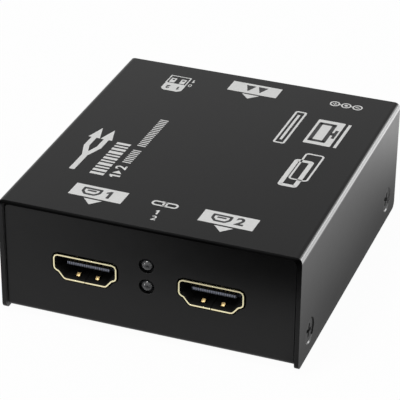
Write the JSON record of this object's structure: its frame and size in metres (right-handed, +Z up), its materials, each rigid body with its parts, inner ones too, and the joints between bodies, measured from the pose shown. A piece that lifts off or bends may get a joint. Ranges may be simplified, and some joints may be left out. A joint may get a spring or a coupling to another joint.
{
  "type": "hdmi splitter",
  "caption": "Small folded steel box with a video input and slide switch at the back and twin video outputs with status lamps at the front.",
  "frame": {"origin": "centre of the outline at the height of the floor under the rubber feet", "axes": "+Z up; -Y towards the front panel with the output sockets and lamps; +Y towards the rear panel; +X to the right seen from the front"},
  "size_m": [0.068, 0.0746, 0.029],
  "materials": {
    "cover_paint": "satin black powder coat",
    "tray_paint": "satin black powder coat",
    "black_screw": "black oxide",
    "foot_rubber": "matte",
    "standoff_brass": "turned, nickel flash",
    "board_screw_steel": "zinc plated",
    "board_laminate": "black solder mask",
    "socket_gold": "gold plated",
    "tongue_plastic": "moulded, slate",
    "contact_gold": "gold plated",
    "lamp_holder_plastic": "moulded black",
    "lamp_lens": "clear epoxy",
    "tinned_wire": "tin plated",
    "jack_plastic": "moulded black",
    "jack_nickel": "nickel plated",
    "switch_plastic": "moulded black",
    "slider_plastic": "moulded white",
    "chip_plastic": "moulded black",
    "can_aluminium": "drawn can on a black foot",
    "crystal_steel": "drawn can",
    "ferrite": "sintered",
    "ceramic_tan": "fired",
    "resistor_black": "coated"
  },
  "bodies": {
    "housing": {"base_tray": "tray_paint", "board_screws": "board_screw_steel", "board_standoffs": "standoff_brass", "ceramic_capacitors": "ceramic_tan", "circuit_board": "board_laminate", "cover_screws": "black_screw", "crystal": "crystal_steel", "dc_jack_body": "jack_plastic", "dc_jack_pin": "jack_nickel", "dc_jack_terminals": "tinned_wire", "dip_switch_body": "switch_plastic", "dip_switch_pins": "tinned_wire", "guard_chips": "chip_plastic", "hdmi_in_contacts": "contact_gold", "hdmi_in_insulator": "tongue_plastic", "hdmi_in_shell": "socket_gold", "hdmi_out_1_contacts": "contact_gold", "hdmi_out_1_insulator": "tongue_plastic", "hdmi_out_1_shell": "socket_gold", "hdmi_out_2_contacts": "contact_gold", "hdmi_out_2_insulator": "tongue_plastic", "hdmi_out_2_shell": "socket_gold", "led_holder": "lamp_holder_plastic", "led_leads": "tinned_wire", "led_lens_lower": "lamp_lens", "led_lens_upper": "lamp_lens", "line_resistors": "resistor_black", "memory_chips": "chip_plastic", "power_inductor": "ferrite", "rubber_feet": "foot_rubber", "smoothing_capacitors": "can_aluminium", "splitter_chip": "chip_plastic", "splitter_chip_pins": "tinned_wire", "top_cover": "cover_paint", "voltage_regulator": "chip_plastic"},
    "switch_lever_1": {"dip_slider_1": "slider_plastic"},
    "switch_lever_2": {"dip_slider_2": "slider_plastic"}
  },
  "joints": [
    {"name": "switch_1_slide", "type": "slide", "parent": "housing", "child": "switch_lever_1", "axis": [0, 0, 1], "range_m": [0, 0.002]},
    {"name": "switch_2_slide", "type": "slide", "parent": "housing", "child": "switch_lever_2", "axis": [0, 0, 1], "range_m": [0, 0.002]}
  ]
}
